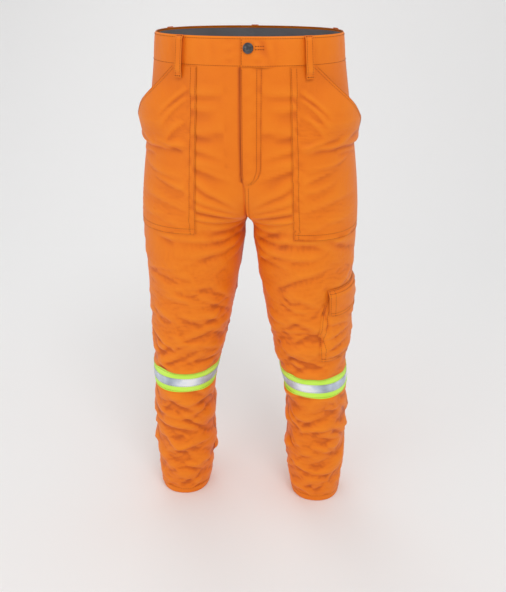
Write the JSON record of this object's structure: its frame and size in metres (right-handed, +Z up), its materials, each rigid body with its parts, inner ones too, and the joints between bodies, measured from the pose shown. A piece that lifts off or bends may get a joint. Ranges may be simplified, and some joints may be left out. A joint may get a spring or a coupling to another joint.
{
  "type": "high-visibility work trousers",
  "caption": "High-visibility padded work trousers with reflective leg bands, patch hand pockets, a cargo pocket with flap, belt loops, a zip fly and a tack button.",
  "frame": {"origin": "centre of the waistband's top edge", "axes": "+Z up the body, +X to the wearer's left, -Y to the front"},
  "size_m": [0.4399, 0.2769, 0.9852],
  "materials": {
    "shell_fabric": "crinkled light nylon, lightly wadded, matt with a soft sheen",
    "lining_mesh": "fine knitted mesh, matt",
    "lime_tape": "fluorescent woven tape",
    "silver_tape": "glass-bead reflective tape",
    "hook_and_loop": "hook and loop pile",
    "zip_tape": "tight twill tape",
    "zip_teeth": "moulded nylon coil",
    "zip_metal": "dark plated zinc",
    "button_metal": "dark pewter plating, worn at the rim"
  },
  "bodies": {
    "seat": {"left_front_seat_panel": "shell_fabric", "right_front_seat_panel": "shell_fabric", "left_back_seat_panel": "shell_fabric", "right_back_seat_panel": "shell_fabric", "left_hip_crease_cloth": "shell_fabric", "right_hip_crease_cloth": "shell_fabric", "waistband_left_front": "shell_fabric", "waistband_right_front": "shell_fabric", "waistband_back": "shell_fabric", "waistband_facing": "lining_mesh", "left_front_belt_loop": "shell_fabric", "right_front_belt_loop": "shell_fabric", "left_rear_belt_loop": "shell_fabric", "right_rear_belt_loop": "shell_fabric", "centre_back_belt_loop": "shell_fabric", "button_tack": "button_metal", "left_zip_tape": "zip_tape", "right_zip_tape": "zip_tape", "left_zip_teeth": "zip_teeth", "right_zip_teeth": "zip_teeth", "zip_bottom_stop": "zip_metal", "fly_guard": "shell_fabric", "left_hand_pocket_pouch": "shell_fabric", "right_hand_pocket_pouch": "shell_fabric", "left_hand_pocket_lower": "shell_fabric", "right_hand_pocket_lower": "shell_fabric", "left_back_pocket": "shell_fabric", "right_back_pocket": "shell_fabric", "left_seat_lining": "lining_mesh", "right_seat_lining": "lining_mesh"},
    "fly_flap": {"fly_cover": "shell_fabric"},
    "zip_slide": {"zip_slider": "zip_metal"},
    "zip_tab": {"zip_pull": "zip_metal"},
    "button": {"button_cap": "button_metal"},
    "left_thigh": {"left_front_thigh_panel": "shell_fabric", "left_back_thigh_panel": "shell_fabric", "left_knee_cloth": "shell_fabric", "cargo_pocket": "shell_fabric", "pocket_loop_strip": "hook_and_loop", "left_leg_lining": "lining_mesh"},
    "right_thigh": {"right_front_thigh_panel": "shell_fabric", "right_back_thigh_panel": "shell_fabric", "right_knee_cloth": "shell_fabric", "right_leg_lining": "lining_mesh"},
    "left_shin": {"left_front_shin_panel": "shell_fabric", "left_back_shin_panel": "shell_fabric", "left_lime_tape": "lime_tape", "left_silver_tape": "silver_tape", "left_hem": "shell_fabric"},
    "right_shin": {"right_front_shin_panel": "shell_fabric", "right_back_shin_panel": "shell_fabric", "right_lime_tape": "lime_tape", "right_silver_tape": "silver_tape", "right_hem": "shell_fabric"},
    "cargo_flap": {"cargo_flap": "shell_fabric", "flap_hook_strip": "hook_and_loop"}
  },
  "joints": [
    {"name": "left_hip", "type": "hinge", "parent": "seat", "child": "left_thigh", "pos_m": [0.107, 0.005, -0.235], "axis": [-1, 0, 0], "range_deg": [-10, 65], "deforming": ["left_hip_crease_cloth", "left_leg_lining"]},
    {"name": "left_knee", "type": "hinge", "parent": "left_thigh", "child": "left_shin", "pos_m": [0.125, -0.004, -0.58], "axis": [1, 0, 0], "range_deg": [0, 70], "deforming": ["left_knee_cloth"]},
    {"name": "right_hip", "type": "hinge", "parent": "seat", "child": "right_thigh", "pos_m": [-0.107, 0.005, -0.235], "axis": [-1, 0, 0], "range_deg": [-10, 65], "deforming": ["right_hip_crease_cloth", "right_leg_lining"]},
    {"name": "right_knee", "type": "hinge", "parent": "right_thigh", "child": "right_shin", "pos_m": [-0.125, -0.004, -0.58], "axis": [1, 0, 0], "range_deg": [0, 70], "deforming": ["right_knee_cloth"]},
    {"name": "cargo_flap_lift", "type": "hinge", "parent": "left_thigh", "child": "cargo_flap", "pos_m": [0.207, -0.022, -0.4485], "axis": [-0.2439, -0.9698, 0], "range_deg": [0, 85]},
    {"name": "fly_cover_open", "type": "hinge", "parent": "seat", "child": "fly_flap", "pos_m": [0.0322, -0.1215, -0.14], "axis": [0, 0, 1], "range_deg": [0, 55]},
    {"name": "zip_run", "type": "slide", "parent": "seat", "child": "zip_slide", "axis": [0, 0, -1], "range_m": [0, 0.137]},
    {"name": "zip_pull_tilt", "type": "hinge", "parent": "zip_slide", "child": "zip_tab", "pos_m": [0.015, -0.1147, -0.0592], "axis": [-1, 0, 0], "range_deg": [0, 14]},
    {"name": "button_turn", "type": "hinge", "parent": "seat", "child": "button", "pos_m": [0.009, -0.1215, -0.017], "axis": [0, 1, 0], "continuous": true}
  ]
}
